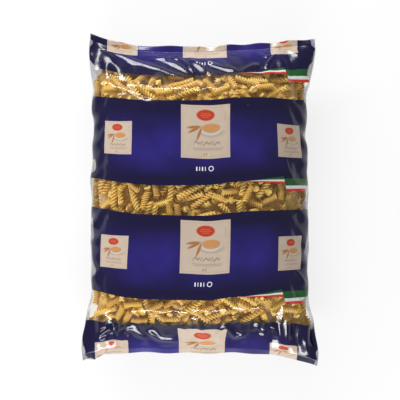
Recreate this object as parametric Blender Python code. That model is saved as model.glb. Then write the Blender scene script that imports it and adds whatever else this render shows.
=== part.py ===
"""A filled film packet of dry pasta, lying on its back: one sealed pillow bag with a flat seal fin at each end.

Blender 4.5, metres, +Z up. The packet's length runs along Y and its width along X, with the printed front
facing up. The origin is on the floor, under the middle of the packet's bounding box.

A point of the film has two places on it: `across`, from -1 at the left side crease to 1 at the right one,
and `along`, from -1 at the lower end seal to 1 at the upper one. Every size is worked out from those two.
"""

import bpy
import numpy as np

# Driving dimensions, in metres
BODY_HALF_WIDTH = 0.1495  # of the filled body, to its side creases
BODY_HALF_LENGTH = 0.2115  # from the middle to the line where an end seal begins
CREASE_HEIGHT = 0.052  # of the side creases above the floor
SEAL_HEIGHT = 0.052  # of the end seals above the floor, where each begins
FRONT_RISE = 0.068  # of the crown above the side creases
FIN_LENGTH = 0.011  # of the flat seal fin at each end
FIN_DROOP = 0.007  # how far a fin's edge hangs below its root
FIN_THICKNESS = 0.0016
SIDE_EAR = 0.006  # the loose film that stands out flat along each side crease
SHOULDER = (0.74, 0.045)  # where along the body the contents end, and how softly

# How far each corner stands out past the body, as (sideways, lengthways, how sharply)
CORNERS = {
    "lower_left": (0.0185, 0.010, 7.0),
    "lower_right": (0.0195, 0.019, 3.5),
    "upper_left": (0.0070, 0.019, 4.0),
    "upper_right": (0.0155, 0.011, 1.4),
}
WAIST = {"depth": 0.003, "at": 0.45, "reach": 0.28}  # the body is a little slimmer below its upper end
SIDE_LIFT = {"left": (0.012, 3.0), "right": (0.006, 1.3)}  # the film rides up at the sides: (how far, how late)

# Folds that run in from the ends, each from one (x, y) to another, with its half width and its height
END_FOLDS = [
    ((-0.143, 0.190), (-0.060, 0.142), 0.010, 0.0060),
    ((-0.120, 0.206), (-0.012, 0.168), 0.009, 0.0052),
    ((-0.040, 0.203), (0.020, 0.164), 0.009, 0.0048),
    ((0.045, 0.205), (0.060, 0.176), 0.010, 0.0036),
    ((0.112, 0.204), (0.125, 0.172), 0.011, 0.0039),
    ((-0.068, -0.208), (-0.060, -0.176), 0.010, 0.0045),
    ((-0.010, -0.208), (0.002, -0.172), 0.011, 0.0048),
    ((0.050, -0.208), (0.046, -0.176), 0.010, 0.0042),
    ((0.098, -0.212), (0.090, -0.178), 0.010, 0.0045),
]

# Mesh
COLUMNS = 38  # faces across the front, and as many across the back
ROWS = 50  # faces along the body
FIN_ROWS = 2
FILM_BLUE = (0.030, 0.022, 0.150, 1.0)


def ramp(value, start, end):
    """A smooth climb from 0 at start to 1 at end."""
    share = np.clip((value - start) / (end - start), 0.0, 1.0)
    return share * share * (3.0 - 2.0 * share)


def corner(across, along):
    """The sideways and lengthways reach of the nearest corner, and its sharpness."""
    end = "upper" if along > 0.0 else "lower"
    side = "right" if across > 0.0 else "left"
    return CORNERS[f"{end}_{side}"]


def half_width(across, along):
    """From the middle to the side crease, on the side that across is on."""
    waist = WAIST["depth"] * np.exp(-(((along - WAIST["at"]) / WAIST["reach"]) ** 2))
    return BODY_HALF_WIDTH - waist + corner(across, along)[0] * ramp(abs(along), 0.66, 1.0)


def lengthways(across, along):
    """The y of a film point: rows bend up at the sides, and out to the corners at the ends."""
    lift, power = SIDE_LIFT["right" if across > 0.0 else "left"]
    side_lift = lift * abs(across) ** power * (1.0 - along**8)
    _, reach, sharpness = corner(across, along)
    ear = np.sign(along) * reach * abs(across) ** sharpness * ramp(abs(along), 0.70, 1.0)
    return BODY_HALF_LENGTH * along + side_lift + ear


def end_profile(along):
    """The packet's height along its length: rounded over the contents, then straight down to each seal."""
    at, soft = SHOULDER
    straight = (1.0 - at**4) ** 0.7 * (1.0 - abs(along)) / (1.0 - at)
    share = ramp(abs(along), at - soft, at + soft)
    return (1.0 - along**4) ** 0.7 * (1.0 - share) + straight * share


def fullness(across, along):
    """How far the film stands off the plane of its creases: 1 at the crown, 0 at the sides and ends."""
    return (1.0 - abs(across) ** 2.7) ** 0.5 * end_profile(along)


def crease_plane(along):
    """The height of the creases and seals above the floor."""
    return CREASE_HEIGHT + (SEAL_HEIGHT - CREASE_HEIGHT) * along**4


def side_wave(across, along):
    """The loose film's small dents along a side crease, which make its outline uneven."""
    phase = 0.6 if across > 0.0 else 2.1
    slow = np.sin(7.0 * along + phase)
    return 0.0012 * slow + 0.0009 * np.sin(17.0 * along + 3.0 * slow) + 0.0006 * np.sin(31.0 * along + phase)


def fold_height(x, y):
    """The height that the end folds add at a point: a rounded ridge that tapers at both its ends."""
    height = 0.0
    for start, end, half_wide, tall in END_FOLDS:
        run = np.subtract(end, start)
        share = np.dot(np.subtract((x, y), start), run) / np.dot(run, run)
        nearest = np.add(start, np.clip(share, 0.0, 1.0) * run)
        off_line = np.hypot(*np.subtract((x, y), nearest)) / half_wide
        taper = ramp(share, -0.25, 0.25) * (1.0 - ramp(share, 0.6, 1.25))
        height += tall * taper * np.exp(-(off_line**2))
    return height


def body_points(across, along):
    """The front and back points of the film at one place on the body."""
    x = half_width(across, along) * across
    y = lengthways(across, along)
    edge = ramp(abs(across), 0.90, 1.0)
    x += np.sign(across) * edge * (SIDE_EAR * (1.0 - along**6) + side_wave(across, along))
    full = fullness(across, along)
    plane = crease_plane(along)
    front = plane + FRONT_RISE * full + fold_height(x, y) * min(1.0, 4.0 * full)
    pressed = 1.0 - (1.0 - min(full / 0.80, 1.0)) ** 2.2  # the back lies flat where the bag is full
    back = plane * (1.0 - pressed)
    return (x, y, front), (x, y, back)


def fin_points(across, end, share):
    """The front and back points of a seal fin, share of the way out from its root. It hangs a little."""
    x = half_width(across, end) * across
    y = lengthways(across, end) + end * share * np.sqrt(FIN_LENGTH**2 - FIN_DROOP**2)
    middle = SEAL_HEIGHT - FIN_DROOP * share + 0.0012 * np.sin(26.0 * across) * share
    return (x, y, middle + FIN_THICKNESS / 2), (x, y, middle - FIN_THICKNESS / 2)


def eased(count):
    """Even steps from -1 to 1, drawn together towards both ends, where the film turns most."""
    return np.sin(np.linspace(-np.pi / 2, np.pi / 2, count + 1)) * 0.55 + np.linspace(-1.0, 1.0, count + 1) * 0.45


def film_rings():
    """Closed rings of points round the packet, from the edge of the lower fin to the edge of the upper one."""
    columns = eased(COLUMNS)
    seal_line = 0.985  # the body meets the fin's thickness just before the film's own end
    shares = np.linspace(1.0, 0.0, FIN_ROWS + 1)[:-1]
    stations = [("fin", -1.0, share) for share in shares]
    stations += [("body", along, 0.0) for along in eased(ROWS) * seal_line]
    stations += [("fin", 1.0, share) for share in shares[::-1]]
    rings = []
    for kind, along, share in stations:
        front, back = [], []
        for across in columns:
            if kind == "fin":
                upper, lower = fin_points(across, along, share)
            else:
                upper, lower = body_points(across, along)
            thin = FIN_THICKNESS - (upper[2] - lower[2])
            if thin > 0.0:  # two layers of film always keep a seal's thickness between them
                upper = (upper[0], upper[1], upper[2] + thin / 2)
                lower = (lower[0], lower[1], lower[2] - thin / 2)
            front.append(upper)
            back.append(lower)
        rings.append(front + back[::-1])
    return rings


def ring_faces(ring_count, ring_size):
    """Quads between neighbouring rings, and a strip of quads across each fin's edge."""
    faces = []
    for ring in range(ring_count - 1):
        here, there = ring * ring_size, (ring + 1) * ring_size
        for step in range(ring_size):
            after = (step + 1) % ring_size
            faces.append((here + step, here + after, there + after, there + step))
    for first, flipped in ((0, True), ((ring_count - 1) * ring_size, False)):
        for step in range(ring_size // 2 - 1):
            opposite = ring_size - 1 - step
            quad = (first + step, first + step + 1, first + opposite - 1, first + opposite)
            faces.append(quad[::-1] if flipped else quad)
    return faces


def film_material():
    material = bpy.data.materials.new("printed_film")
    material.use_nodes = True
    shader = material.node_tree.nodes["Principled BSDF"]
    shader.inputs["Base Color"].default_value = FILM_BLUE
    shader.inputs["Roughness"].default_value = 0.25
    shader.inputs["Metallic"].default_value = 0.0
    return material


def make_packet():
    """The whole packet as one closed solid, centred over the origin and standing on the floor."""
    rings = film_rings()
    points = np.array([point for ring in rings for point in ring])
    low, high = points.min(axis=0), points.max(axis=0)
    points -= ((low[0] + high[0]) / 2, (low[1] + high[1]) / 2, low[2])
    mesh = bpy.data.meshes.new("packet")
    mesh.from_pydata(points.tolist(), [], ring_faces(len(rings), len(rings[0])))
    mesh.materials.append(film_material())
    mesh.shade_smooth()
    mesh.set_sharp_from_angle(angle=np.radians(50.0))
    mesh.validate()
    packet = bpy.data.objects.new("packet", mesh)
    bpy.context.scene.collection.objects.link(packet)
    return packet


for old in list(bpy.data.objects):
    bpy.data.objects.remove(old)
make_packet()
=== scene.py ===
import math

import bpy
import numpy as np
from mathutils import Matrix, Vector


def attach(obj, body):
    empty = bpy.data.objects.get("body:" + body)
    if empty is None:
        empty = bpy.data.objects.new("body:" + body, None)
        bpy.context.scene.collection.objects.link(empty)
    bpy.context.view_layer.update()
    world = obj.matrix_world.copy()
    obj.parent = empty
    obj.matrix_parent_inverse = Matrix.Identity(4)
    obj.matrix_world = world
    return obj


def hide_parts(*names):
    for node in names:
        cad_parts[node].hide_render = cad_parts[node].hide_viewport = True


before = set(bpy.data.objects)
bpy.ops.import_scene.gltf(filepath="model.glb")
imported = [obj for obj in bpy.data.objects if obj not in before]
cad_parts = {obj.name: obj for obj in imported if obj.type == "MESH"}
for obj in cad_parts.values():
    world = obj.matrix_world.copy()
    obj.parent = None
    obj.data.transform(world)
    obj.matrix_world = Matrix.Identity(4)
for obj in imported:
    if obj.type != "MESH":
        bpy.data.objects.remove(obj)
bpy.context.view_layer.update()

# Everything is in metres. A point of the film has two places on it: across, from -1 at the left side
# crease to 1 at the right one, and along, from -1 at the lower end seal to 1 at the upper one.


def ramp(value, start, end):
    share = np.clip((value - start) / (end - start), 0.0, 1.0)
    return share * share * (3.0 - 2.0 * share)


def bell(value, centre, reach):
    return np.exp(-(((value - centre) / reach) ** 2))


def wave(seed, count, low, high):
    # a smooth random function of one value, about -1 to 1, built from a few sines
    dice = np.random.default_rng(seed)
    rates = dice.uniform(low, high, count)
    phases = dice.uniform(0.0, 2.0 * math.pi, count)
    return lambda t: sum(np.sin(r * t + p) for r, p in zip(rates, phases)) / math.sqrt(count)


def ripple(seed, count, size, stretch=(1.0, 1.0)):
    # a smooth random function of x and y, about -1 to 1, with bumps of the given size in metres
    dice = np.random.default_rng(seed)
    angles = dice.uniform(0.0, 2.0 * math.pi, count)
    rates = math.pi / (size * dice.uniform(0.7, 1.5, count))
    phases = dice.uniform(0.0, 2.0 * math.pi, count)

    def height(x, y):
        total = 0.0
        for angle, rate, phase in zip(angles, rates, phases):
            way = x * math.cos(angle) / stretch[0] + y * math.sin(angle) / stretch[1]
            total = total + np.sin(rate * way + phase)
        return total / math.sqrt(count)

    return height


def addMesh(name, points, faces, material):
    mesh = bpy.data.meshes.new(name)
    mesh.from_pydata(np.asarray(points).tolist(), [], [tuple(int(i) for i in f) for f in faces])
    mesh.materials.append(material)
    mesh.shade_smooth()
    mesh.update()
    piece = bpy.data.objects.new(name, mesh)
    bpy.context.scene.collection.objects.link(piece)
    return piece


def addPointValue(piece, name, values):
    attribute = piece.data.attributes.new(name, "FLOAT", "POINT")
    attribute.data.foreach_set("value", np.asarray(values, np.float32))


class Wires:
    # adds nodes to one tree and joins them, so that a formula reads in one line

    def __init__(self, tree):
        self.tree = tree

    def add(self, kind, **settings):
        node = self.tree.nodes.new(kind)
        for name, value in settings.items():
            setattr(node, name, value)
        return node

    def join(self, value, socket):
        if isinstance(value, bpy.types.NodeSocket):
            self.tree.links.new(value, socket)
        elif hasattr(socket.default_value, "__len__") and len(socket.default_value) == 4 and len(value) == 3:
            socket.default_value = (*value, 1.0)
        else:
            socket.default_value = value

    def math(self, operation, *values, clamp=False):
        node = self.add("ShaderNodeMath", operation=operation, use_clamp=clamp)
        for value, socket in zip(values, node.inputs):
            self.join(value, socket)
        return node.outputs[0]

    def product(self, *values):
        result = values[0]
        for value in values[1:]:
            result = self.math("MULTIPLY", result, value)
        return result

    def total(self, *values):
        result = values[0]
        for value in values[1:]:
            result = self.math("ADD", result, value)
        return result

    def above(self, value, edge, soft):
        return self.math("MULTIPLY_ADD", value, 1.0 / soft, 0.5 - edge / soft, clamp=True)

    def below(self, value, edge, soft):
        return self.math("MULTIPLY_ADD", value, -1.0 / soft, 0.5 + edge / soft, clamp=True)

    def between(self, value, low, high, soft):
        return self.product(self.above(value, low, soft), self.below(value, high, soft))

    def rectangle(self, x, y, box, soft):
        left, right, bottom, top = box
        return self.product(self.between(x, left, right, soft), self.between(y, bottom, top, soft))

    def ellipse(self, x, y, centre, radii, soft, turn=0.0):
        c, s = math.cos(math.radians(turn)), math.sin(math.radians(turn))
        shiftU = -(centre[0] * c + centre[1] * s) / radii[0]
        shiftV = (centre[0] * s - centre[1] * c) / radii[1]
        u = self.math("MULTIPLY_ADD", y, s / radii[0], self.math("MULTIPLY_ADD", x, c / radii[0], shiftU))
        v = self.math("MULTIPLY_ADD", y, c / radii[1], self.math("MULTIPLY_ADD", x, -s / radii[1], shiftV))
        reach = self.math("SQRT", self.math("MULTIPLY_ADD", u, u, self.math("MULTIPLY", v, v)))
        return self.below(reach, 1.0, soft / min(radii))

    def paint(self, under, over, mask):
        node = self.add("ShaderNodeMix", data_type="RGBA")
        self.join(mask, node.inputs[0])
        self.join(under, node.inputs[6])
        self.join(over, node.inputs[7])
        return node.outputs[2]

    def noise(self, vector, scale, detail=2.0, roughness=0.5):
        node = self.add("ShaderNodeTexNoise")
        self.join(vector, node.inputs["Vector"])
        node.inputs["Scale"].default_value = scale
        node.inputs["Detail"].default_value = detail
        node.inputs["Roughness"].default_value = roughness
        return node.outputs["Fac"]

    def bump(self, height, strength, distance):
        node = self.add("ShaderNodeBump")
        node.inputs["Strength"].default_value = strength
        node.inputs["Distance"].default_value = distance
        self.join(height, node.inputs["Height"])
        return node.outputs["Normal"]

    def attribute(self, name):
        return self.add("ShaderNodeAttribute", attribute_name=name).outputs["Fac"]


def newGroup(name, inputs, outputs):
    # a shader node group with named sockets; returns its wires and the inner ends of those sockets
    tree = bpy.data.node_groups.new(name, "ShaderNodeTree")
    for label, kind in inputs.items():
        tree.interface.new_socket(label, in_out="INPUT", socket_type=kind)
    for label, kind in outputs.items():
        tree.interface.new_socket(label, in_out="OUTPUT", socket_type=kind)
    wires = Wires(tree)
    entry, leave = wires.add("NodeGroupInput"), wires.add("NodeGroupOutput")
    return tree, wires, entry.outputs, leave.inputs


def placeGroup(wires, tree, **values):
    node = wires.add("ShaderNodeGroup", node_tree=tree)
    for label, value in values.items():
        wires.join(value, node.inputs[label])
    return node.outputs


def newMaterial(name):
    material = bpy.data.materials.new(name)
    material.use_nodes = True
    tree = material.node_tree
    tree.nodes.clear()
    wires = Wires(tree)
    return material, wires, wires.add("ShaderNodeOutputMaterial")


bag = {
    "halfWidth": 0.1495,  # of the filled body, to its side creases
    "halfLength": 0.2115,  # from the middle to where an end seal begins
    "creaseHeight": 0.052,
    "sealHeight": 0.052,
    "rise": 0.068,  # of the crown above the side creases
    "finRun": 0.0085,  # how far an end seal's flat fin stands out, and how far its edge hangs
    "upperFinDroop": 0.003,
    "lowerFinDroop": 0.011,
    "finThickness": 0.0010,
    "ear": 0.006,  # loose film that stands out flat along each side crease
    "shoulder": (0.74, 0.045),  # where the contents end and the film runs straight to a seal, and how softly
    "corners": {  # (sideways, lengthways, how sharply)
        "lowerLeft": (0.0185, 0.010, 7.0),
        "lowerRight": (0.0195, 0.019, 3.5),
        "upperLeft": (0.0070, 0.019, 4.0),
        "upperRight": (0.0155, 0.011, 1.4),
    },
    "waist": (0.003, 0.45, 0.28),  # how deep, where along, how far it reaches
    "liftLeft": 0.0125,  # how far the print rides up at the left side
    "liftRight": 0.0080,
}


def cornerValues(across, along, which):
    upper = along > 0.0
    right = across > 0.0
    c = bag["corners"]
    top = np.where(right, c["upperRight"][which], c["upperLeft"][which])
    bottom = np.where(right, c["lowerRight"][which], c["lowerLeft"][which])
    return np.where(upper, top, bottom)


def halfWidthAt(across, along):
    depth, at, reach = bag["waist"]
    width = bag["halfWidth"] - depth * bell(along, at, reach)
    return width + cornerValues(across, along, 0) * ramp(np.abs(along), 0.66, 1.0)


def liftAt(across):
    left = bag["liftLeft"] * np.abs(across) ** 3.4
    right = bag["liftRight"] * np.abs(across) * (2.0 - np.abs(across)) * ramp(across, 0.0, 0.30)
    return np.where(across > 0.0, right, left)


def lengthwaysAt(across, along):
    ear = np.sign(along) * cornerValues(across, along, 1) * np.abs(across) ** cornerValues(across, along, 2)
    lift = liftAt(across) * (1.0 - along**8) * (1.0 - 0.5 * ramp(along, 0.45, 0.95))
    return bag["halfLength"] * along + lift + ear * ramp(np.abs(along), 0.70, 1.0)


def roundEnd(along):
    return (1.0 - along**4) ** 0.7


def endProfile(along):
    # rounded over the contents, then straight down to the seal
    at, soft = bag["shoulder"]
    straight = roundEnd(at) * (1.0 - np.abs(along)) / (1.0 - at)
    share = ramp(np.abs(along), at - soft, at + soft)
    return roundEnd(along) * (1.0 - share) + straight * share


def fullnessAt(across, along):
    return (1.0 - np.abs(across) ** 2.7) ** 0.5 * endProfile(along)


def creasePlaneAt(along):
    return bag["creaseHeight"] + (bag["sealHeight"] - bag["creaseHeight"]) * along**4


def bodyPoints(across, along, side):
    # smooth points of the filled film; side is 1 for the front and -1 for the back
    across, along = np.broadcast_arrays(np.asarray(across, float), np.asarray(along, float))
    x = halfWidthAt(across, along) * across
    x = x + np.sign(across) * ramp(np.abs(across), 0.90, 1.0) * bag["ear"] * (1.0 - along**6)
    y = lengthwaysAt(across, along)
    full = fullnessAt(across, along)
    plane = creasePlaneAt(along)
    if side > 0:
        z = plane + bag["rise"] * full
    else:
        pressed = 1.0 - (1.0 - np.minimum(full / 0.80, 1.0)) ** 2.2
        z = plane * (1.0 - pressed)
    return np.stack([x, y, z], axis=-1)


def gridNormals(points, flip):
    rowStep = np.gradient(points, axis=0)
    columnStep = np.gradient(points, axis=1)
    normals = np.cross(columnStep, rowStep) * (-1.0 if flip else 1.0)
    return normals / np.maximum(np.linalg.norm(normals, axis=-1, keepdims=True), 1e-12)


def easedSteps(count, ease):
    even = np.linspace(-1.0, 1.0, count + 1)
    return np.sin(even * math.pi / 2.0) * ease + even * (1.0 - ease)


def arcTable():
    # how far along the film each place is, measured on its surface from the middle, both ways
    t = np.linspace(-1.0, 1.0, 801)
    across = bodyPoints(t, np.zeros_like(t), 1)
    # the film is slack towards its seals, so the print there follows a rounder line than the film does
    drop = (bag["rise"] + 0.006) * roundEnd(t)
    along = np.stack([np.zeros_like(t), lengthwaysAt(np.zeros_like(t), t), drop], axis=-1)
    acrossArc = np.concatenate([[0.0], np.cumsum(np.linalg.norm(np.diff(across, axis=0), axis=1))])
    alongArc = np.concatenate([[0.0], np.cumsum(np.linalg.norm(np.diff(along, axis=0), axis=1))])
    return t, acrossArc - np.interp(0.0, t, acrossArc), alongArc - np.interp(0.0, t, alongArc)


arcPlaces, arcAcross, arcAlong = arcTable()
filmShift = None  # set when the film is made, so that its box is centred as the solid's is


creases = [  # (path, height, half width): the upper end
    ([(-134, 186), (-122, 177), (-105, 163), (-88, 151), (-74, 144), (-56, 140)], -3.5, 8.0),
    ([(-132, 214), (-112, 207), (-90, 196), (-56, 185), (-35, 176), (-7, 171)], 1.9, 4.2),
    ([(-84, 206), (-63, 206), (-49, 199), (-28, 188), (-6, 172)], 3.9, 6.0),
    ([(-70, 203), (-31, 202), (-20, 193), (-4, 176)], 4.8, 5.0),
    ([(-20, 206), (-6, 193), (8, 182), (20, 169)], 5.6, 5.8),
    ([(0, 203), (14, 193), (36, 185), (53, 179)], 2.5, 5.6),
    ([(27, 200), (39, 188), (53, 181)], 1.5, 4.2),
    ([(35, 211), (48, 207), (56, 213), (62, 210)], 1.6, 3.4),
    ([(53, 179), (66, 185), (76, 190), (88, 190)], 1.5, 3.4),
    ([(84, 209), (95, 203), (101, 207)], 1.9, 3.0),
    ([(91, 185), (101, 199), (112, 213)], 2.4, 4.0),
    ([(-151, 230), (-140, 217), (-129, 213)], 1.0, 3.0),
    # the lower end
    ([(-112, -205), (-108, -189), (-101, -183), (-95, -184), (-84, -192), (-74, -197)], 1.8, 5.0),
    ([(-76, -183), (-67, -190), (-56, -198), (-43, -199), (-25, -203)], 3.3, 5.0),
    ([(-25, -189), (-20, -176), (-10, -166), (-2, -169), (3, -182), (6, -194)], 2.7, 5.6),
    ([(14, -207), (22, -199), (29, -183), (36, -176),
      (43, -185), (50, -193), (57, -193), (66, -189)], 3.1, 4.8),
    ([(74, -186), (80, -177), (86, -184), (92, -184)], 1.5, 4.2),
    ([(102, -176), (108, -186), (111, -199)], 1.8, 4.2),
    ([(-146, -196), (-133, -186), (-122, -182)], 1.4, 4.0),
    # the right side
    ([(132, -95), (144, -108), (150, -123)], 2.0, 3.2),
    ([(137, -133), (144, -147), (152, -160)], 2.0, 3.2),
    ([(118, 62), (124, 40), (132, 28)], 1.4, 4.0),
    ([(48, -148), (68, -128), (88, -112)], 1.2, 6.0),
    ([(36, 136), (44, 122), (52, 112)], 1.2, 5.0),
]


def creaseHeight(x, y):
    # the height that all creases add at each point, in metres, and how far a crease pulls the film taut there
    height, taut = np.zeros_like(x), np.zeros_like(x)
    for path, tall, half in creases:
        corners = np.array(path, float) / 1000.0
        knots = np.linspace(0.0, 1.0, len(corners))
        fine = np.linspace(0.0, 1.0, 14 * len(corners))
        line = np.stack([np.interp(fine, knots, corners[:, k]) for k in (0, 1)], axis=1)
        for _ in range(10):  # rounds the path's corners
            line[1:-1] = (line[:-2] + 2.0 * line[1:-1] + line[2:]) / 4.0
        half = half / 1000.0
        low, high = line.min(axis=0) - 3.0 * half, line.max(axis=0) + 3.0 * half
        near = (x > low[0]) & (x < high[0]) & (y > low[1]) & (y < high[1])
        offsets = np.stack([x[near], y[near]], axis=-1)[:, None, :] - line[None, :, :]
        distance = np.sqrt((offsets**2).sum(axis=-1))
        nearest = distance.argmin(axis=1)
        share = fine[nearest]
        taper = ramp(share, -0.02, 0.25) * (1.0 - ramp(share, 0.75, 1.02))
        off = distance[np.arange(len(nearest)), nearest] / half
        # straight flanks mirror a lamp over their whole width
        ridge = np.sqrt((np.maximum(1.0 - off, 0.0) + 0.04) ** 2 + 0.02) - 0.147
        height[near] += tall / 1000.0 * taper * ridge
        taut[near] = np.maximum(taut[near], taper * (1.0 - ramp(off, 0.9, 1.7)))
    return height, taut


def frontRelief(x, y, across, along, settings):
    # how far the front film stands off its smooth shape at each point, in metres
    lumps = ripple(11, 9, 0.016)(x, y) * settings["lump"]
    swell = ripple(12, 7, 0.050)(x, y) * settings["swell"]
    ends = ramp(np.abs(along), 0.62, 0.90)
    pleat = wave(21, 5, 90.0, 260.0)
    pleatTop = wave(22, 5, 60.0, 170.0)
    lean = x + 0.25 * (np.abs(y) - 0.20)
    upper = (pleatTop(lean) * 0.7 + 0.3 * pleat(lean * 1.3)) * settings["upperPleat"]
    lower = pleat(x) * settings["lowerPleat"]
    gathers = np.where(along > 0.0, upper, lower) * ends * (1.0 + 1.4 * ramp(np.abs(across), 0.62, 0.82))
    sides = ramp(np.abs(across), 0.80, 0.97)
    tuck = wave(31, 6, 60.0, 240.0)
    tucks = tuck(y + 0.3 * np.abs(across) + np.where(across > 0, 2.0, 0.0)) * settings["sideTuck"] * sides
    folds, taut = creaseHeight(x, y)
    # over the last pieces of pasta before each end the film shows their small bumps
    shoulder = bell(np.abs(along), bag["shoulder"][0], 0.10) * (1.0 - 0.9 * taut)
    folds = folds + shoulder * settings["shoulderLump"] * np.maximum(ripple(13, 9, 0.013)(x, y), -0.4)
    loose = np.maximum((lumps + swell) * (1.0 - 0.5 * ends), -0.0004) + pokeHeight(x, y, settings)
    return loose * (1.0 - 0.7 * taut) + gathers * (1.0 - 0.8 * taut) + tucks * (1.0 - ends) + folds


def pokeHeight(x, y, settings):
    # small points where the ends of pasta push the film out
    dice = np.random.default_rng(41)
    height = np.zeros_like(x)
    for _ in range(settings["pokes"]):
        px, py = dice.uniform(-0.140, 0.140), dice.uniform(-0.190, 0.190)
        size = dice.uniform(0.0016, 0.0030)
        tall = dice.uniform(0.25, 1.0) * settings["pokeHeight"]
        near = (np.abs(x - px) < 3.0 * size) & (np.abs(y - py) < 3.0 * size)
        height[near] += tall * np.exp(-(((x[near] - px) ** 2 + (y[near] - py) ** 2) / size**2))
    return height


filmSheet = {
    "columns": 200,
    "backColumns": 60,
    "rows": 288,
    "finRows": 8,
    "lump": 0.00018,
    "swell": 0.0007,
    "shoulderLump": 0.0011,
    "upperPleat": 0.0011,
    "lowerPleat": 0.0015,
    "sideTuck": 0.0008,
    "pokes": 150,
    "pokeHeight": 0.0008,
    "sideWobble": 0.0014,
    "crimp": 0.00025,
    "seamRise": 0.0016,  # of the back over the lengthways seal
    "ruffle": 0.0016,  # of the loose film along the side creases
    "foldedTip": 0.0050,  # how far the folded tip at the lower left corner stands out
    "finPrint": 0.011,  # the length of print on an end seal
    "bareCorner": (0.013, 0.184, 0.014),  # film without ink beside the upper window: width, place, reach
}


def finStrip(across, end, side, settings):
    # a seal fin's rows, from its root outwards, for the front or the back layer
    count = settings["finRows"]
    root = bodyPoints(across, np.full_like(across, end), 1)
    run = bag["finRun"]
    droop = bag["upperFinDroop"] if end > 0 else bag["lowerFinDroop"]
    curl = wave(51 if end > 0 else 52, 5, 6.0, 26.0)(across)
    rows = []
    for step in range(1, count + 1):
        share = step / count
        y = root[:, 1] + end * run * share * (1.0 + 0.10 * curl)
        if end < 0:
            y = y - settings["foldedTip"] * share * bell(across, -0.895, 0.025)
        z = bag["sealHeight"] - droop * share + 0.0016 * share * curl
        ribbed = settings["crimp"] * (1.0 if step % 2 else -1.0) * (1.0 if step < count else 0.0)
        half = bag["finThickness"] / 2.0 if step < count else 0.0001
        rows.append(np.stack([root[:, 0], y, z + ribbed + side * half], axis=-1))
    return rows


def filmLayer(columns, side, settings):
    # all rows of one layer, from the lower fin's edge to the upper one's
    across = easedSteps(columns, 0.35)
    along = easedSteps(settings["rows"], 0.25)
    acrossGrid, alongGrid = np.meshgrid(across, along)
    points = bodyPoints(acrossGrid, alongGrid, side)
    smooth = points.copy()
    normals = gridNormals(points, side < 0)
    x, y = smooth[..., 0], smooth[..., 1]
    held = (1.0 - ramp(np.abs(acrossGrid), 0.985, 1.0)) * (1.0 - ramp(np.abs(alongGrid), 0.90, 1.0))
    if side > 0:
        relief = frontRelief(x, y, acrossGrid, alongGrid, settings)
        points = points + normals * (relief * held)[..., None]
    else:
        loose = ramp(points[..., 2], 0.004, 0.020)
        relief = frontRelief(x + 0.4, -y, acrossGrid, alongGrid, settings)
        points = points + normals * (relief * held * loose)[..., None]
        points[..., 2] = np.maximum(points[..., 2], 0.0)
        points[..., 2] += settings["seamRise"] * (1.0 - ramp(np.abs(x), 0.010, 0.026)) * (1.0 - loose)
    wobble = wave(61, 6, 30.0, 130.0)(y + np.where(acrossGrid > 0, 5.0, 0.0))
    edge = ramp(np.abs(acrossGrid), 0.86, 1.0)
    points[..., 0] += np.sign(acrossGrid) * edge * settings["sideWobble"] * wobble * (1.0 - alongGrid**6)
    ruffle = wave(62, 6, 110.0, 330.0)(y + np.where(acrossGrid > 0, 3.0, 0.0))
    sides, ends = ramp(np.abs(acrossGrid), 0.93, 1.0), ramp(np.abs(alongGrid), 0.9, 0.98)
    points[..., 2] += sides * settings["ruffle"] * ruffle * (1.0 - ends)
    lower = finStrip(across, -1.0, side, settings)[::-1]
    upper = finStrip(across, 1.0, side, settings)
    grid = np.concatenate([np.array(lower), points, np.array(upper)], axis=0)
    fin = settings["finPrint"] * np.arange(1, settings["finRows"] + 1) / settings["finRows"]
    printY = np.interp(along, arcPlaces, arcAlong)
    printY = np.concatenate([printY[0] - fin[::-1], printY, printY[-1] + fin])
    # where the print falls: by length over the filled middle, evenly across the flat ends
    printX, printY = np.meshgrid(np.interp(across, arcPlaces, arcAcross), printY)
    even = acrossEnds(across) * np.ones_like(printX)
    flat = ramp(np.abs(printY), 0.165, 0.225)
    printX = printX * (1.0 - flat) + even * flat
    if side > 0:
        printX = printX + 0.0040 * ramp(-printY, -0.04, 0.10) * ramp(-across, 0.35, 0.75)
        printX = printX + 0.0040 * ramp(-printY, 0.03, 0.19)
        printY = printY + 0.0045 * ramp(across, 0.50, 0.95) * bell(printY, 0.095, 0.075)
    return grid, across, printX, printY


def acrossEnds(across):
    flat = (arcAcross[-1] + bag["ear"]) * across
    return np.where(across > 0.0, 0.965, 0.90) * flat


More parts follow.
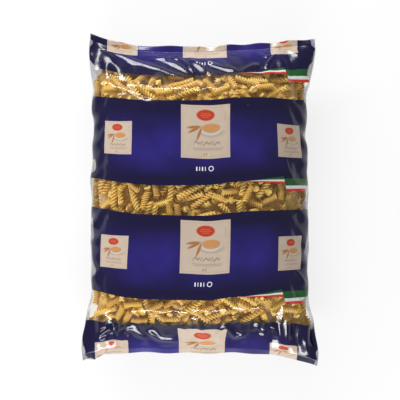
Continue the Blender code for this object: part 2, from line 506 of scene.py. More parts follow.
def makeFilm(material, settings):
    front, acrossFront, frontX, frontY = filmLayer(settings["columns"], 1, settings)
    back, acrossBack, backX, backY = filmLayer(settings["backColumns"], -1, settings)
    # both layers share their side creases and the edges of their fins
    seamZ = (front[:, [0, -1], 2] + back[:, [0, -1], 2]) / 2.0
    front[:, [0, -1], 2] = seamZ
    rows = front.shape[0]
    ring = np.concatenate([front, back[:, -2:0:-1]], axis=1)
    size = ring.shape[1]
    points = ring.reshape(-1, 3)
    corners = points.min(axis=0), points.max(axis=0)
    shift = (corners[0] + corners[1]) / 2.0 * (1.0, 1.0, 0.0)
    points = points - shift
    faces, printUv = [], []
    for row in range(rows - 1):
        here, there = row * size, (row + 1) * size
        for step in range(size):
            after = (step + 1) % size
            faces.append((here + step, here + after, there + after, there + step))
            if step < settings["columns"]:
                placeX, placeY, first, second = frontX, frontY, step, step + 1
            else:  # the back's own places lie a metre further on
                place = step - settings["columns"]
                placeX, placeY, first, second = 1.0 + backX, backY, -1 - place, -2 - place
            for line, column in ((row, first), (row, second), (row + 1, second), (row + 1, first)):
                printUv += [placeX[line, column], placeY[line, column]]
    # a strip closes each fin's edge
    for first, flipped in ((0, True), ((rows - 1) * size, False)):
        frontRow = [first + k for k in range(settings["columns"] + 1)]
        backRow = [first] + [first + size - 1 - k for k in range(settings["backColumns"] - 1)]
        backRow.append(first + settings["columns"])
        loop = frontRow + backRow[-2:0:-1]
        faces.append(tuple(loop[::-1] if flipped else loop))
        y = frontY[0, 0] if flipped else frontY[-1, 0]
        for index in faces[-1]:
            printUv += [0.0, float(y)]
    film = addMesh("film", points, faces, material)
    uv = film.data.uv_layers.new(name="print")
    uv.data.foreach_set("uv", np.array(printUv, np.float32))
    gapFront = (1.0 - np.abs(acrossFront)) * bag["halfWidth"]
    gapBack = (1.0 - np.abs(acrossBack)) * bag["halfWidth"]
    gap = np.tile(np.concatenate([gapFront, gapBack[-2:0:-1]]), rows)
    bare, at, reach = settings["bareCorner"]
    clearPatch = bare * bell(points[:, 1], at, reach) * (points[:, 0] < 0.0)
    addPointValue(film, "sideGap", gap - clearPatch)
    print("film: %d points, %d faces" % (len(points), len(faces)))
    return film, shift


printColours = {  # linear
    "blueDeep": (0.0050, 0.0030, 0.0340),
    # the brighter blue below is painted sheen, a soft reflection, not a second ink
    "paintedSheenBlue": (0.0290, 0.0190, 0.2500),
    "cream": (0.52, 0.42, 0.33),
    "creamLine": (0.40, 0.31, 0.24),
    "red": (0.45, 0.038, 0.010),
    "bowlPasta": (0.42, 0.17, 0.055),
    "bowlPastaLight": (0.62, 0.33, 0.12),
    "bowlRim": (0.50, 0.50, 0.50),
    "bowlShade": (0.36, 0.24, 0.14),
    "wheat": (0.36, 0.15, 0.05),
    "script": (0.15, 0.085, 0.050),
    "smallPrint": (0.25, 0.17, 0.13),
    "white": (0.85, 0.85, 0.88),
    "flagGreen": (0.012, 0.090, 0.020),
    "flagWhite": (0.72, 0.72, 0.70),
    "flagRed": (0.56, 0.035, 0.020),
    # painted shade and sheen for the clear film along the side creases
    "edgeShadeAndSheen": (0.42, 0.42, 0.47),
}

printLayout = {  # millimetres on the film
    "pitch": 160.0,  # from one clear window to the next
    "windowFoot": -21.3,  # the lower edge of the middle window
    "window": 41.5,
    "labels": [  # (centre across, width, foot, height, skew), feet from the window below's lower edge
        (8.4, 69.0, 78.0, 74.5, -0.045),
        (-120.8, 47.5, 80.0, 46.0, 0.090),
        (134.0, 42.5, 75.5, 47.5, 0.0),
        (1000.0 - 64.0, 43.5, 80.0, 48.0, 0.0),
        (1000.0 + 64.0, 43.5, 80.0, 48.0, 0.0),
    ],
    "ribbonStart": 57.0,
    "ribbonStep": 124.0,
    "ribbonSink": 4.2,  # how far the ribbon lies over the window at its step
    "marks": (7.0, 64.0),  # the short white strokes under each main label
}


def labelPrint():
    # the small picture on a label; Across and Up run from 0 to 1 over it
    tree, w, entry, leave = newGroup(
        "labelPrint", {"Across": "NodeSocketFloat", "Up": "NodeSocketFloat", "Vector": "NodeSocketVector"},
        {"Color": "NodeSocketColor"})
    c = printColours
    s, t = entry["Across"], entry["Up"]
    tone = w.noise(entry["Vector"], 90.0, 2.0)
    colour = w.paint([0.93 * v for v in c["cream"]], [1.06 * v for v in c["cream"]], tone)
    frameLine = w.math("SUBTRACT", w.rectangle(s, t, (0.035, 0.965, 0.035, 0.965), 0.012),
                       w.rectangle(s, t, (0.048, 0.952, 0.048, 0.952), 0.012), clamp=True)
    colour = w.paint(colour, c["creamLine"], w.product(frameLine, 0.5))
    colour = w.paint(colour, c["red"], w.ellipse(s, t, (0.50, 0.812), (0.185, 0.105), 0.02))
    for up, half in ((0.845, 0.095), (0.810, 0.120), (0.775, 0.070)):
        bar = w.rectangle(s, t, (0.50 - half, 0.50 + half, up - 0.007, up + 0.007), 0.012)
        colour = w.paint(colour, (0.62, 0.22, 0.14), w.product(bar, 0.5))
    shadow = w.ellipse(s, t, (0.63, 0.470), (0.235, 0.065), 0.05)
    colour = w.paint(colour, c["bowlShade"], w.product(shadow, 0.7))
    colour = w.paint(colour, c["bowlRim"], w.ellipse(s, t, (0.615, 0.535), (0.215, 0.105), 0.02))
    speckle = w.above(w.noise(entry["Vector"], 900.0, 2.0), 0.5, 0.25)
    inside = w.paint(c["bowlPasta"], c["bowlPastaLight"], speckle)
    colour = w.paint(colour, inside, w.ellipse(s, t, (0.615, 0.565), (0.190, 0.088), 0.02))
    for centre, turn in (((0.26, 0.580), 8.0), ((0.27, 0.530), 26.0), ((0.37, 0.455), 68.0)):
        ear = w.ellipse(s, t, centre, (0.135, 0.026), 0.014, turn)
        colour = w.paint(colour, c["wheat"], ear)
    # a plain handwritten squiggle and two ruled lines, with no letters in them
    slow = w.math("SINE", w.product(s, 31.0))
    swing = w.math("SINE", w.total(w.product(s, 88.0), w.product(slow, 1.6)))
    height = w.total(0.285, w.product(swing, w.math("MULTIPLY_ADD", slow, 0.012, 0.024)))
    stroke = w.below(w.math("ABSOLUTE", w.math("SUBTRACT", t, height)), 0.016, 0.026)
    colour = w.paint(colour, c["script"], w.product(stroke, w.between(s, 0.25, 0.80, 0.02), 0.62))
    for up, left, right in ((0.190, 0.24, 0.86), (0.160, 0.27, 0.83)):
        line = w.rectangle(s, t, (left, right, up - 0.008, up + 0.008), 0.012)
        colour = w.paint(colour, c["smallPrint"], w.product(line, 0.55))
    sideLine = w.rectangle(s, t, (0.895, 0.905, 0.66, 0.87), 0.01)
    colour = w.paint(colour, c["smallPrint"], w.product(sideLine, 0.5))
    for ink, centre, tall in (("red", (0.52, 0.085), 0.028), ("script", (0.47, 0.080), 0.024)):
        drop = w.ellipse(s, t, centre, (0.010, tall), 0.01, -12.0)
        colour = w.paint(colour, c[ink], w.product(drop, 0.8))
    w.join(colour, leave["Color"])
    return tree


def filmPrint(label):
    # everything printed on the film: Vector is the place on it in metres, Ink is 0 where it is clear
    tree, w, entry, leave = newGroup(
        "filmPrint", {"Vector": "NodeSocketVector", "Side Gap": "NodeSocketFloat"},
        {"Color": "NodeSocketColor", "Ink": "NodeSocketFloat"})
    c, lay = printColours, printLayout
    place = w.add("ShaderNodeSeparateXYZ")
    w.join(entry["Vector"], place.inputs[0])
    x = w.product(place.outputs[0], 1000.0)
    y = w.product(place.outputs[1], 1000.0)
    # printed edges aren't ruler-straight
    wander = w.math("MULTIPLY_ADD", w.noise(entry["Vector"], 14.0, 1.0), 2.4, -1.2)
    foot = w.math("WRAP", w.total(y, -lay["windowFoot"], wander), lay["pitch"], 0.0)
    soft = 0.5
    clear = w.between(foot, 0.0, lay["window"], soft)
    # painted sheen: the blue print stays deep beside the windows, and between them, most towards the middle, a
    # brighter blue is painted in as a soft reflection
    rounded = w.math("POWER", w.math("ABSOLUTE", w.math("MULTIPLY_ADD", foot, 1.0 / 46.0, -99.0 / 46.0)), 1.6)
    paintedSheen = w.math("SUBTRACT", 1.0, rounded, clamp=True)
    inward = w.below(w.math("ABSOLUTE", x), 118.0, 75.0)
    paintedSheen = w.product(paintedSheen, w.math("ADD", inward, w.above(x, 500.0, 1.0), clamp=True))
    cloud = w.math("MULTIPLY_ADD", w.noise(entry["Vector"], 14.0, 2.0), 1.6, -0.25, clamp=True)
    paintedSheen = w.product(paintedSheen, cloud)
    colour = w.paint(c["blueDeep"], c["paintedSheenBlue"], paintedSheen)
    # pale specks painted on the blue as small glints of light
    paintedGlint = w.above(w.noise(entry["Vector"], 300.0, 1.0), 0.80, 0.05)
    colour = w.paint(colour, (0.16, 0.15, 0.30), paintedGlint)
    ink = w.math("SUBTRACT", 1.0, clear)
    # the three-coloured ribbon along each window's upper edge
    start, step = lay["ribbonStart"], lay["ribbonStep"]
    sink = w.math("MULTIPLY_ADD", x, 1.0 / (step - start), -start / (step - start), clamp=True)
    rise = w.math("MULTIPLY_ADD", sink, lay["ribbonSink"], w.math("SUBTRACT", foot, lay["window"]))
    slant = w.math("MULTIPLY_ADD", rise, 0.25, x)
    thin = w.product(w.below(slant, step, soft), w.above(x, start, soft), w.below(x, 500.0, 1.0))
    widths = [w.product(w.math("MULTIPLY_ADD", x, 1.0 / (step - a), -a / (step - a), clamp=True), tall)
              for a, tall in ((start, 3.4), (start + 6.0, 3.2), (start + 16.0, 4.4))]
    redTop = widths[0]
    whiteTop = w.total(redTop, widths[1])
    greenTop = w.total(whiteTop, widths[2])

    def under(top):
        return w.above(w.math("SUBTRACT", top, rise), 0.0, soft)

    thinFoot = w.above(rise, -0.3, soft)
    thinAll = w.product(thin, thinFoot, under(greenTop))
    ribbon = w.paint(c["flagGreen"], c["flagWhite"], under(whiteTop))
    ribbon = w.paint(ribbon, c["flagRed"], under(redTop))
    thick = w.product(w.above(slant, step, soft), w.below(x, 500.0, 1.0), w.between(rise, -11.2, 7.8, soft))
    thickRibbon = w.paint(c["flagGreen"], c["flagWhite"], w.below(rise, -2.4, soft))
    thickRibbon = w.paint(thickRibbon, c["flagRed"], w.below(rise, -7.0, soft))
    colour = w.paint(w.paint(colour, ribbon, thinAll), thickRibbon, thick)
    ink = w.math("MAXIMUM", ink, w.math("MAXIMUM", thinAll, thick))
    # labels: each one's own 0 to 1 places, and where it is
    acrossSum, upSum, maskSum = None, None, None
    for centre, width, bottom, tall, skew in lay["labels"]:
        level = w.total(foot, w.math("MULTIPLY_ADD", x, -skew, skew * centre)) if skew else foot
        mask = w.rectangle(x, level, (centre - width / 2, centre + width / 2, bottom, bottom + tall), soft)
        s = w.math("MULTIPLY_ADD", x, 1.0 / width, 0.5 - centre / width)
        t = w.math("MULTIPLY_ADD", level, 1.0 / tall, -bottom / tall)
        s, t = w.product(mask, s), w.product(mask, t)
        acrossSum = s if acrossSum is None else w.total(acrossSum, s)
        upSum = t if upSum is None else w.total(upSum, t)
        maskSum = mask if maskSum is None else w.total(maskSum, mask)
    art = placeGroup(w, label, Across=acrossSum, Up=upSum, Vector=entry["Vector"])
    colour = w.paint(colour, art["Color"], maskSum)
    # plain strokes and a ring under each main label
    markX, markY = lay["marks"]
    marks = None
    for offset, half in ((-11.0, 0.8), (-7.0, 0.5), (-3.0, 0.8), (1.0, 0.5)):
        at = markX + offset
        bar = w.rectangle(x, foot, (at - half, at + half, markY - 2.8, markY + 2.8), soft)
        marks = bar if marks is None else w.total(marks, bar)
    ring = w.math("SUBTRACT", w.ellipse(x, foot, (markX + 9.0, markY), (3.6, 3.6), soft),
                  w.ellipse(x, foot, (markX + 9.0, markY), (2.6, 2.6), soft), clamp=True)
    colour = w.paint(colour, c["white"], w.math("ADD", marks, ring, clamp=True))
    # the film is unprinted along its side creases; a silver grey is painted there at part strength as the shade
    # and sheen of the clear film
    uneven = w.math("MULTIPLY_ADD", w.noise(entry["Vector"], 22.0, 1.5), 30.0, -13.5)
    gap = w.math("SUBTRACT", w.product(entry["Side Gap"], 1000.0), uneven)
    margin = w.below(gap, 0.0, 1.0)
    colour = w.paint(colour, c["edgeShadeAndSheen"], margin)
    ink = w.total(w.product(ink, w.math("SUBTRACT", 1.0, margin)), w.product(margin, 0.55))
    w.join(colour, leave["Color"])
    w.join(ink, leave["Ink"])
    return tree


def wrinkleRelief():
    # fine crinkles of thin plastic film, as a height for a Bump node
    tree, w, entry, leave = newGroup(
        "filmCrinkle", {"Vector": "NodeSocketVector", "Fine": "NodeSocketFloat"}, {"Height": "NodeSocketFloat"})
    broad = w.noise(entry["Vector"], 45.0, 3.0, 0.55)
    ridged = w.math("ABSOLUTE", w.math("MULTIPLY_ADD", w.noise(entry["Vector"], 110.0, 2.0), 2.0, -1.0))
    height = w.total(broad, w.product(ridged, entry["Fine"]))
    w.join(height, leave["Height"])
    return tree


def makeFilmMaterial(settings):
    material, w, output = newMaterial("printedFilm")
    position = w.add("ShaderNodeTexCoord").outputs["Object"]
    uv = w.add("ShaderNodeUVMap", uv_map="print").outputs["UV"]
    art = placeGroup(w, filmPrint(labelPrint()), **{"Vector": uv, "Side Gap": w.attribute("sideGap")})
    relief = placeGroup(w, wrinkleRelief(), Vector=position, Fine=settings["fine"])
    normal = w.bump(relief["Height"], settings["bump"], 0.001)
    printed = w.add("ShaderNodeBsdfPrincipled")
    w.join(art["Color"], printed.inputs["Base Color"])
    w.join(normal, printed.inputs["Normal"])
    printed.inputs["Roughness"].default_value = settings["inkRoughness"]
    printed.inputs["IOR"].default_value = settings["inkIor"]
    gloss = w.add("ShaderNodeBsdfGlossy")
    gloss.inputs["Roughness"].default_value = settings["clearRoughness"]
    w.join(normal, gloss.inputs["Normal"])
    through = w.add("ShaderNodeBsdfTransparent")
    through.inputs["Color"].default_value = (0.96, 0.95, 0.94, 1.0)
    fresnel = w.add("ShaderNodeFresnel")
    # a thin film mirrors the same from inside as from outside, so its index turns over with the face
    ior = settings["clearIor"]
    backFace = w.add("ShaderNodeNewGeometry").outputs["Backfacing"]
    w.join(w.math("MULTIPLY_ADD", backFace, 1.0 / ior - ior, ior), fresnel.inputs["IOR"])
    w.join(normal, fresnel.inputs["Normal"])
    clear = w.add("ShaderNodeMixShader")
    w.join(fresnel.outputs[0], clear.inputs[0])
    w.join(through.outputs[0], clear.inputs[1])
    w.join(gloss.outputs[0], clear.inputs[2])
    mixed = w.add("ShaderNodeMixShader")
    w.join(art["Ink"], mixed.inputs[0])
    w.join(clear.outputs[0], mixed.inputs[1])
    w.join(printed.outputs[0], mixed.inputs[2])
    w.join(mixed.outputs[0], output.inputs["Surface"])
    return material


pasta = {
    "length": 0.039,
    "radius": 0.0047,
    "coreRadius": 0.0021,
    "bladeHalf": 14.0,  # degrees that half a blade's edge takes
    "turns": 2.7,
    "sections": 30,
    "kinds": 7,
    "gap": 0.0078,  # least distance between two axes
    # light and dark are the ends of a mix that carries random tone, painted highlight on the blade rims and
    # painted shade in the grooves
    "light": (0.97, 0.740, 0.185),
    "dark": (0.74, 0.410, 0.130),
    "roughness": 0.42,
}


def spiralTemplate(seed):
    # one spiral along X: three thin blades that wind round a thin core
    dice = np.random.default_rng(seed)
    whole = seed % 100 < pasta["kinds"] - 2  # the last two kinds are broken ones
    length = pasta["length"] * (dice.uniform(0.90, 1.10) if whole else dice.uniform(0.50, 0.65))
    count = pasta["sections"]
    radius, core, half = pasta["radius"], pasta["coreRadius"], math.radians(pasta["bladeHalf"])
    angles, radii = [], []
    for blade in range(3):
        middle = blade * 2.0 * math.pi / 3.0
        after = middle + 2.0 * math.pi / 3.0
        angles += [middle - half, middle + half, middle + half + 0.45, after - half - 0.45]
        radii += [radius, radius, core * 1.25, core * 1.25]
    angles, radii = np.array(angles), np.array(radii)
    share = np.linspace(-0.5, 0.5, count + 1)
    twist = 2.0 * math.pi * pasta["turns"] * share * dice.uniform(0.92, 1.08) + dice.uniform(0.0, 6.28)
    swell = 1.0 + 0.06 * np.sin(share * dice.uniform(6.0, 14.0) + dice.uniform(0.0, 6.28))
    bend = dice.uniform(-0.0014, 0.0014)
    points, rim = [], []
    for k in range(count + 1):
        a = angles + twist[k]
        r = radii * swell[k]
        lift = bend * (1.0 - 4.0 * share[k] ** 2)
        skew = 0.0009 * np.sin(a)  # the cut ends aren't quite square
        x = np.full(len(a), share[k] * length) + (skew if k in (0, count) else 0.0)
        points.append(np.stack([x, r * np.cos(a), r * np.sin(a) + lift], axis=1))
        # rim is 1 at the blade edges and less towards the core; it drives the painted rim highlight and groove
        # shade
        rim.append(radii / radius)
    points, rim = np.concatenate(points), np.concatenate(rim)
    size = len(angles)
    faces = []
    for k in range(count):
        for j in range(size):
            after = (j + 1) % size
            faces.append((k * size + j, k * size + after, (k + 1) * size + after, (k + 1) * size + j))
    caps = [tuple(range(size))[::-1], tuple(count * size + j for j in range(size))]
    return points, np.array(faces), caps, rim, length


def insideFilm(points, margin):
    # whether each point is clear of the film by the margin
    x, y, z = points[:, 0], points[:, 1], points[:, 2]
    across = np.clip(x / bag["halfWidth"], -0.999, 0.999)
    along = np.clip((y - liftAt(across)) / bag["halfLength"], -0.98, 0.98)
    width = halfWidthAt(across, along)
    across = np.clip(x / width, -0.999, 0.999)
    front = bodyPoints(across, along, 1)[:, 2]
    back = bodyPoints(across, along, -1)[:, 2]
    return (z < front - margin) & (z > back + margin) & (np.abs(x) < width - 0.002)


def packSides(dice, low, high, kept, beads):
    # the spirals that lie along the two side creases
    reach = np.linspace(-1.0, 1.0, 6)[:, None]
    for _ in range(heap["sideTries"]):
        sign = 1.0 if dice.random() < 0.5 else -1.0
        row = np.interp(dice.uniform(low, high), arcAlong, arcPlaces)
        row = np.clip(row, -heap["sideEnd"], heap["sideEnd"])
        kind, spin, lean = int(dice.integers(pasta["kinds"])), dice.uniform(0.0, 6.28), dice.normal(0.0, 0.35)
        yaw, rise = dice.normal(0.0, 0.05), dice.uniform(-0.010, 0.010)
        edge = bodyPoints([sign], [row], 1)[0]
        axis = np.array([math.sin(yaw), math.cos(lean), math.sin(lean)])
        axis /= np.linalg.norm(axis)
        half = spirals[kind][4] / 2.0
        centre = edge - (sign * heap["sideDepth"], 0.0, -rise)
        ends = centre + np.outer([-1.0, 1.0], axis * half)
        signs = np.array([sign, sign])
        sides = bodyPoints(signs, (ends[:, 1] - liftAt(signs)) / bag["halfLength"], 1)
        outside = np.abs(ends[:, 0]) > np.abs(sides[:, 0]) - heap["sideLeast"]
        if outside.any() or (np.abs(ends[:, 2] - heap["sideHeight"]) > heap["sideReach"]).any():
            continue
        mine = centre + reach * axis * (half - pasta["radius"])
        if len(beads) and ((beads[None, :, :] - mine[:, None, :]) ** 2).sum(axis=-1).min() < pasta["gap"] ** 2:
            continue
        beads = np.concatenate([beads, mine])
        kept.append((kind, centre, axis, spin, dice.uniform(0.0, 1.0)))
    return beads


def packWindow(seed, low, high, side, layers):
    # throws spirals at the film between two rows, layer under layer, keeping those that touch no other
    dice = np.random.default_rng(seed)
    reach = np.linspace(-0.5, 0.5, 6)
    kept, beads = [], np.zeros((0, 3))
    if side > 0:
        beads = packSides(dice, low, high, kept, beads)
    for tries, shallow, deep in layers:
        for _ in range(tries):
            across = dice.uniform(-0.99, 0.99)
            row = np.interp(dice.uniform(low, high), arcAlong, arcPlaces)
            depth = dice.uniform(shallow, deep)
            turn = dice.uniform(0.0, math.pi)
            tip = dice.normal(0.0, 0.16)
            if dice.random() < 0.05:
                tip = dice.uniform(0.9, 1.4)
            kind, spin = int(dice.integers(pasta["kinds"])), dice.uniform(0.0, 6.28)
            step = 0.004
            here = bodyPoints([across, across + step, across], [row, row, row + step], side)
            sideways, upways = here[1] - here[0], here[2] - here[0]
            normal = np.cross(sideways, upways) * side
            normal /= np.linalg.norm(normal)
            sideways /= np.linalg.norm(sideways)
            upways = np.cross(normal, sideways)
            axis = math.cos(turn) * sideways + math.sin(turn) * upways
            axis = axis * math.cos(tip) - normal * math.sin(tip)
            half = spirals[kind][4] / 2.0 - pasta["radius"]
            centre = here[0] - normal * (depth + abs(math.sin(tip)) * (half + pasta["radius"]))
            mine = centre + np.outer(reach * 2.0 * half, axis)
            ends = centre + np.outer([-1.0, -0.5, 0.5, 1.0], axis * (half + pasta["radius"]))
            if not insideFilm(ends, pasta["radius"] * math.cos(tip) + 0.0015).all():
                continue
            if len(beads):
                distance = ((beads[None, :, :] - mine[:, None, :]) ** 2).sum(axis=-1).min()
                if distance < pasta["gap"] ** 2:
                    continue
            beads = np.concatenate([beads, mine])
            kept.append((kind, centre, axis, spin, dice.uniform(0.0, 1.0)))
    return kept


def makePasta(name, kept, material, shift):
    points, faces, rims, tones, first = [], [], [], [], 0
    for kind, centre, axis, spin, tone in kept:
        shape, quads, caps, rim, _ = spirals[kind]
        helper = np.array([0.0, 0.0, 1.0]) if abs(axis[2]) < 0.8 else np.array([1.0, 0.0, 0.0])
        second = np.cross(helper, axis)
        second /= np.linalg.norm(second)
        third = np.cross(axis, second)
        c, s = math.cos(spin), math.sin(spin)
        basis = np.stack([axis, c * second + s * third, -s * second + c * third])
        points.append(centre + shape @ basis - shift)
        faces += (quads + first).tolist()
        faces += [tuple(i + first for i in cap) for cap in caps]
        rims.append(rim)
        tones.append(np.full(len(shape), tone))
        first += len(shape)
    piece = addMesh(name, np.concatenate(points), faces, material)
    piece.data.set_sharp_from_angle(angle=math.radians(55.0))
    addPointValue(piece, "rim", np.concatenate(rims))
    addPointValue(piece, "tone", np.concatenate(tones))
    print("%s: %d spirals, %d faces" % (name, len(kept), len(faces)))
    return piece


def durumGrainAndRimLight():
    # dry pasta: gold with fine grain; the blade rims are painted paler as highlight, and the grooves deeper gold
    # as painted shade
    tree, w, entry, leave = newGroup(
        "durumGrainAndRimLight", {"Vector": "NodeSocketVector", "Tone": "NodeSocketFloat", "Rim": "NodeSocketFloat"},
        {"Color": "NodeSocketColor", "Height": "NodeSocketFloat"})
    patch = w.noise(entry["Vector"], 160.0, 2.0)
    grain = w.noise(entry["Vector"], 1500.0, 2.0)
    # Rim paints highlight on the blade edges and shade in the grooves; Tone and the patches vary the gold at
    # random
    mix = w.total(w.product(entry["Rim"], 0.55), w.product(entry["Tone"], 0.45),
                  w.math("MULTIPLY_ADD", patch, 0.5, -0.30))
    mix = w.math("ADD", mix, w.math("MULTIPLY_ADD", grain, 0.16, -0.08), clamp=True)
    w.join(w.paint(pasta["dark"], pasta["light"], mix), leave["Color"])
    w.join(grain, leave["Height"])
    return tree


def makePastaMaterial(name, grainAndRimLightTree, rim, tone, paintedShade):
    # rim and tone are None for the mesh's own values; otherwise rim is the scale of a lumpy noise
    material, w, output = newMaterial(name)
    position = w.add("ShaderNodeTexCoord").outputs["Object"]
    grain = placeGroup(w, grainAndRimLightTree, Vector=position,
                       Tone=w.attribute("tone") if tone is None else tone,
                       Rim=w.attribute("rim") if rim is None else w.above(w.noise(position, rim, 1.0), 0.5, 0.2))
    normal = w.bump(grain["Height"], 0.15, 0.0003)
    body = w.add("ShaderNodeBsdfPrincipled")
    # painted shade: paintedShade mixes the colour towards dark brown, for pasta seen deep in the heap
    shade = w.paint(grain["Color"], (0.05, 0.02, 0.01), paintedShade)
    w.join(shade, body.inputs["Base Color"])
    w.join(normal, body.inputs["Normal"])
    body.inputs["Roughness"].default_value = pasta["roughness"]
    body.inputs["Subsurface Weight"].default_value = 0.12
    body.inputs["Subsurface Radius"].default_value = (1.0, 0.6, 0.25)
    body.inputs["Subsurface Scale"].default_value = 0.002
    w.join(body.outputs[0], output.inputs["Surface"])
    return material


heap = {
    "inset": 0.0205,  # how far the core lies under the film
    "edgeInset": 0.48,  # its share of that near the side creases and the seals
    "coreAcross": 0.965,
    "coreAlong": 0.935,
    "columns": 60,
    "rows": 80,
    "margin": 0.020,  # how far past a window's edges the loose spirals reach
    "layers": [(3600, 0.0060, 0.0070), (2600, 0.0090, 0.0145), (1400, 0.0150, 0.0200)],  # (tries, depths)
    "backLayers": [(900, 0.0058, 0.0066), (500, 0.0100, 0.0150)],
    "sideLeast": 0.0062,  # least distance from the crease to the ends of their axes
    "sideHeight": 0.048,  # where those ends lie, and how far above or below it they may be
    "sideReach": 0.014,
    "sideTries": 520,
    "sideEnd": 0.70,  # how far towards the end seals they lie
    "sideDepth": 0.0077,  # from the side crease to the axis of the spirals that lie along it
}


def makeCore(material, shift):
    # the middle of the heap, seen only in the gaps between the loose spirals
    across = easedSteps(heap["columns"], 0.5) * heap["coreAcross"]
    along = easedSteps(heap["rows"], 0.4) * heap["coreAlong"]
    acrossGrid, alongGrid = np.meshgrid(across, along)
    nearEdge = ramp(np.maximum(np.abs(acrossGrid), np.abs(alongGrid)), 0.70, 0.94)
    layers = []
    for side in (1, -1):
        points = bodyPoints(acrossGrid, alongGrid, side)
        inset = heap["inset"] * (1.0 - (1.0 - heap["edgeInset"]) * nearEdge) * (1.0 if side > 0 else 0.8)
        points = points - gridNormals(points, side < 0) * inset[..., None]
        points[..., 2] += ripple(71, 8, 0.010)(points[..., 0], points[..., 1]) * 0.0018
        layers.append(points)
    middle = creasePlaneAt(alongGrid) - 0.004
    front, back = layers
    front[..., 2] = np.maximum(front[..., 2], middle + 0.0005)
    back[..., 2] = np.minimum(back[..., 2], middle - 0.0005)
    back[:, [0, -1]] = front[:, [0, -1]]
    back[[0, -1]] = front[[0, -1]]
    ring = np.concatenate([front, back[:, -2:0:-1]], axis=1)
    rows, size = ring.shape[:2]
    faces = []
    for row in range(rows - 1):
        for step in range(size):
            after = (step + 1) % size
            here, there = row * size, (row + 1) * size
            faces.append((here + step, here + after, there + after, there + step))
    points = ring.reshape(-1, 3) - shift
    return addMesh("pastaCore", points, faces, material)


backSeam = {
    "from": -0.002,  # across the back, in metres
    "to": 0.012,
    "steps": 6,
    "rows": 150,
    "gap": 0.00035,  # between the strip and the film
    "thickness": 0.0003,
}


def makeBackSeam(material, shift):
    # the lengthways seal, a strip that is folded flat against the back
    along = easedSteps(backSeam["rows"], 0.25) * 0.985
    xs = np.linspace(backSeam["from"], backSeam["to"], backSeam["steps"] + 1)
    acrossGrid, alongGrid = np.meshgrid(xs / bag["halfWidth"], along)
    film = bodyPoints(acrossGrid, alongGrid, -1)
    normals = gridNormals(film, True)
    loose = ramp(film[..., 2], 0.004, 0.020)
    film[..., 2] += filmSheet["seamRise"] * (1.0 - loose)
    ruffle = wave(81, 5, 40.0, 160.0)(film[..., 1]) * 0.0002
    free = (acrossGrid - acrossGrid[:, :1]) / (acrossGrid[:, -1:] - acrossGrid[:, :1])
    top = film + normals * (backSeam["gap"] + (0.0002 + ruffle) * free)[..., None]
    bottom = top + normals * backSeam["thickness"]
    bottom[..., 2] = np.maximum(bottom[..., 2], 0.0001)
    ring = np.concatenate([top, bottom[:, ::-1]], axis=1)
    rows, size = ring.shape[:2]
    faces = [tuple(range(size)), tuple((rows - 1) * size + k for k in range(size))[::-1]]
    for row in range(rows - 1):
        for step in range(size):
            after = (step + 1) % size
            here, there = row * size, (row + 1) * size
            faces.append((here + step, there + step, there + after, here + after))
    seam = addMesh("backSeam", ring.reshape(-1, 3) - shift, faces, material)
    seam.data.set_sharp_from_angle(angle=math.radians(40.0))
    return seam


def makeSeamMaterial():
    # the same plastic, unprinted and crimped across by the sealing jaws
    material, w, output = newMaterial("sealedFilm")
    position = w.add("ShaderNodeTexCoord").outputs["Object"]
    place = w.add("ShaderNodeSeparateXYZ")
    w.join(position, place.inputs[0])
    ribs = w.math("SINE", w.product(place.outputs[1], 2.0 * math.pi / 0.0016))
    normal = w.bump(ribs, 0.5, 0.0002)
    cloud = w.noise(position, 60.0, 3.0)
    body = w.add("ShaderNodeBsdfPrincipled")
    w.join(w.paint((0.10, 0.09, 0.20), (0.22, 0.21, 0.30), cloud), body.inputs["Base Color"])
    w.join(normal, body.inputs["Normal"])
    body.inputs["Roughness"].default_value = 0.28
    body.inputs["IOR"].default_value = filmFinish["inkIor"]
    w.join(body.outputs[0], output.inputs["Surface"])
    return material


filmFinish = {
    "inkRoughness": 0.16,
    "inkIor": 1.42,
    "clearRoughness": 0.12,
    "clearIor": 1.45,
    "bump": 0.20,
    "fine": 0.03,
}

film, filmShift = makeFilm(makeFilmMaterial(filmFinish), filmSheet)
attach(film, "root")
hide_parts("packet")

spirals = [spiralTemplate(100 + k) for k in range(pasta["kinds"])]
grainAndRimLightTree = durumGrainAndRimLight()
pastaMaterial = makePastaMaterial("durumPasta", grainAndRimLightTree, None, None, 0.0)
# the core is painted a little darker, as shade deep in the heap
coreMaterial = makePastaMaterial("durumCore", grainAndRimLightTree, 240.0, 0.4, 0.10)

layout = printLayout
for index, name in enumerate(("lower", "middle", "upper")):
    foot = (layout["windowFoot"] + layout["pitch"] * (index - 1)) / 1000.0
    low, high = foot - heap["margin"], foot + layout["window"] / 1000.0 + heap["margin"]
    low, high = max(low, arcAlong[0] + 0.02), min(high, arcAlong[-1] - 0.02)
    for side, word, layers in ((1, "Front", heap["layers"]), (-1, "Back", heap["backLayers"])):
        kept = packWindow(200 + 10 * index + side, low, high, side, layers)
        piece = makePasta("pasta" + name.capitalize() + word, kept, pastaMaterial, filmShift)
        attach(piece, "root")
seam = makeBackSeam(makeSeamMaterial(), filmShift)
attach(seam, "root")
core = makeCore(coreMaterial, filmShift)
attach(core, "root")


studio = {
    "floorColour": (0.90, 0.90, 0.90),
    "floorWhite": 0.80,  # how much of the floor that is seen is plain white
    "worldStrength": 0.38,
    "lampDistance": 1.7,
    "lamps": [  # (name, azimuth, from the zenith, size across, size up, brightness)
        ("upperLamp", 115.0, 63.0, 1.90, 0.20, 26.0),
        ("lowerLamp", 264.0, 62.0, 1.20, 0.23, 27.0),
    ],
    "cameraHeight": 1.90,
    "frameWidth": 0.572,  # across the picture, at the height of the side creases
    "aim": (0.0, 0.0),
}


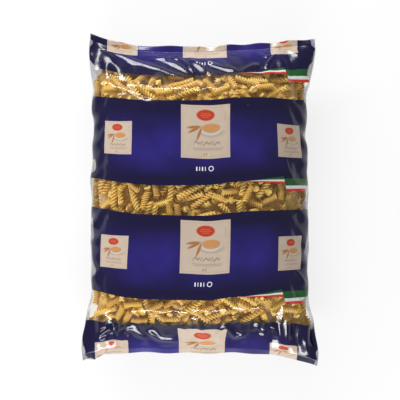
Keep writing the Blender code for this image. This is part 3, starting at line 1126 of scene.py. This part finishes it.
def makeFloor():
    material, w, output = newMaterial("paleFloor")
    position = w.add("ShaderNodeTexCoord").outputs["Object"]
    cloud = w.noise(position, 3.0, 2.0)
    shade = w.add("ShaderNodeBsdfPrincipled")
    colour = studio["floorColour"]
    w.join(w.paint([v * 0.995 for v in colour], colour, cloud), shade.inputs["Base Color"])
    shade.inputs["Roughness"].default_value = 0.9
    shade.inputs["Specular IOR Level"].default_value = 0.0
    # the camera and reflections see it as white paper, on which the packet still leaves its shadow
    white = w.add("ShaderNodeEmission")
    white.inputs["Color"].default_value = (1.0, 1.0, 1.0, 1.0)
    seen = w.add("ShaderNodeLightPath").outputs
    rays = w.math("MAXIMUM", w.math("MAXIMUM", seen["Is Camera Ray"], seen["Is Glossy Ray"]),
                  seen["Is Transmission Ray"])
    both = w.add("ShaderNodeMixShader")
    w.join(w.product(rays, studio["floorWhite"]), both.inputs[0])
    w.join(shade.outputs[0], both.inputs[1])
    w.join(white.outputs[0], both.inputs[2])
    w.join(both.outputs[0], output.inputs["Surface"])
    size, drop = 4.0, -0.0006
    corners = [(-size, -size, drop), (size, -size, drop), (size, size, drop), (-size, size, drop)]
    floor = addMesh("floor", corners, [(0, 1, 2, 3)], material)


def makeLights():
    world = bpy.data.worlds.new("studioWorld")
    bpy.context.scene.world = world
    world.use_nodes = True
    back = world.node_tree.nodes["Background"]
    back.inputs["Color"].default_value = (1.0, 1.0, 1.0, 1.0)
    back.inputs["Strength"].default_value = studio["worldStrength"]
    for name, azimuth, fromZenith, sizeX, sizeY, brightness in studio["lamps"]:
        lamp = bpy.data.lights.new(name, "AREA")
        lamp.shape = "RECTANGLE"
        lamp.size = sizeX
        lamp.size_y = sizeY
        lamp.energy = brightness * math.pi * sizeX * sizeY
        holder = bpy.data.objects.new(name, lamp)
        a, z = math.radians(azimuth), math.radians(fromZenith)
        direction = Vector((math.cos(a) * math.sin(z), math.sin(a) * math.sin(z), math.cos(z)))
        holder.location = direction * studio["lampDistance"]
        holder.rotation_euler = direction.to_track_quat("Z", "Y").to_euler()
        bpy.context.scene.collection.objects.link(holder)


def makeCamera():
    lens = bpy.data.cameras.new("camera")
    lens.sensor_width = 36.0
    lens.lens = 36.0 * (studio["cameraHeight"] - bag["creaseHeight"]) / studio["frameWidth"]
    camera = bpy.data.objects.new("camera", lens)
    camera.location = (studio["aim"][0], studio["aim"][1], studio["cameraHeight"])
    bpy.context.scene.collection.objects.link(camera)
    bpy.context.scene.camera = camera


makeFloor()
makeLights()
makeCamera()
bpy.context.scene.view_settings.view_transform = "Standard"
print("scene made")
